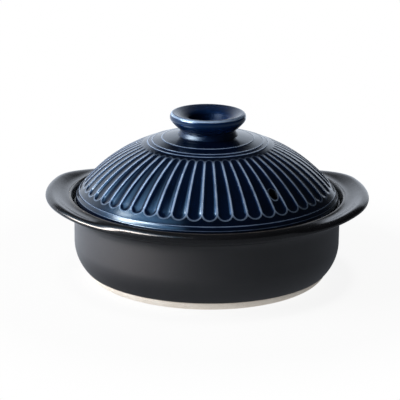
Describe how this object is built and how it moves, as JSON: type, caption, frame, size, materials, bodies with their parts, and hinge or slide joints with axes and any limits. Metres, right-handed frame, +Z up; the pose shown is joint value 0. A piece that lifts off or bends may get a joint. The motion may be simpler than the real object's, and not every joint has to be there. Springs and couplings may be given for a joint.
{
  "type": "donabe clay pot",
  "caption": "Round clay cooking pot with wide side lugs and a fluted, domed lid that lifts off by a flared knob, with a steam hole.",
  "frame": {"origin": "centre of the foot's resting face, on the surface that the pot stands on", "axes": "+Z up; +X through the middle of the right lug; -Y towards the viewer of the picture"},
  "size_m": [0.301, 0.2672, 0.156],
  "materials": {
    "black_glaze": "satin black glaze, glossier on the rim",
    "bare_clay": "matt unglazed clay",
    "blue_glaze": "glossy deep blue glaze that breaks pale on edges"
  },
  "bodies": {
    "pot": {"pot_bowl": "black_glaze", "lug_right": "black_glaze", "lug_left": "black_glaze", "bare_foot": "bare_clay"},
    "lid": {"lid_dome": "blue_glaze", "lid_knob": "blue_glaze"}
  },
  "joints": [
    {"name": "lid_lift", "type": "slide", "parent": "pot", "child": "lid", "axis": [0, 0, 1], "range_m": [0, 0.12]}
  ]
}
